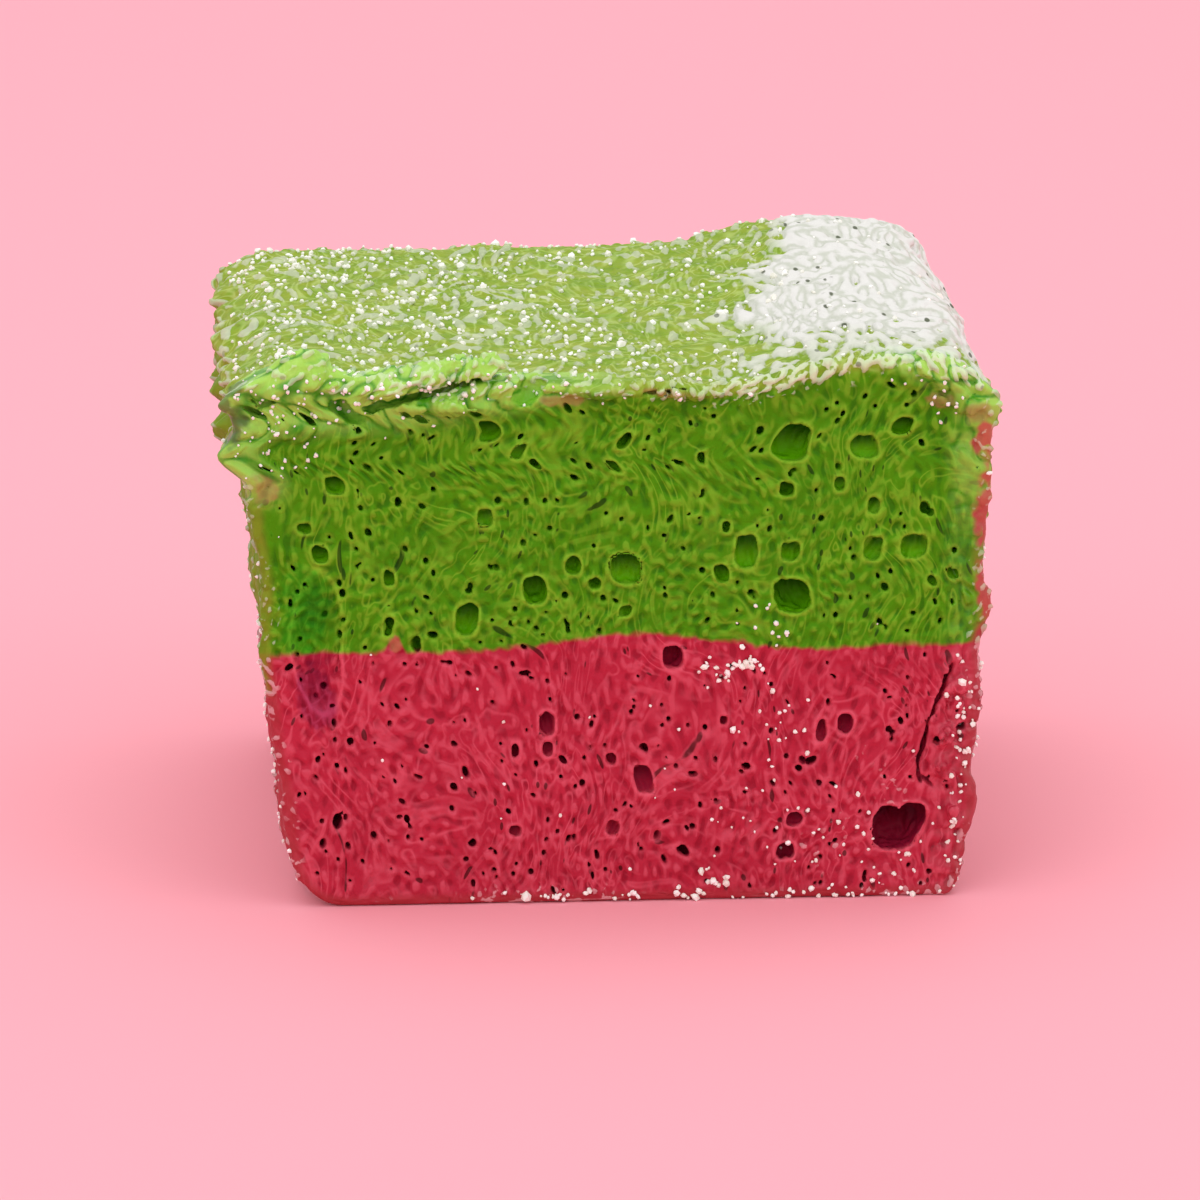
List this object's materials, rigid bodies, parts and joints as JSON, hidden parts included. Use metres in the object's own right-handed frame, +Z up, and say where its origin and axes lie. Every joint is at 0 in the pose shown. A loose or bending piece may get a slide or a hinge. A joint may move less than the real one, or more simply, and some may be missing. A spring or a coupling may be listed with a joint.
{
  "type": "marshmallow",
  "caption": "Cube of layered marshmallow, green foam on red, cut open at the front to show its air bubbles, with a soft, uneven, powdered skin on its other faces.",
  "frame": {"origin": "middle of the flat base, on the surface that the marshmallow stands on", "axes": "+Z up, from the red layer to the green; -Y out of the cut face; +X to the right of the cut face"},
  "size_m": [0.0396, 0.0364, 0.0291],
  "materials": {
    "green_foam": "matte, porous foam with a powdered skin",
    "red_foam": "matte, porous foam with a powdered skin"
  },
  "bodies": {
    "root": {"green_foam": "green_foam", "red_foam": "red_foam"}
  },
  "joints": []
}
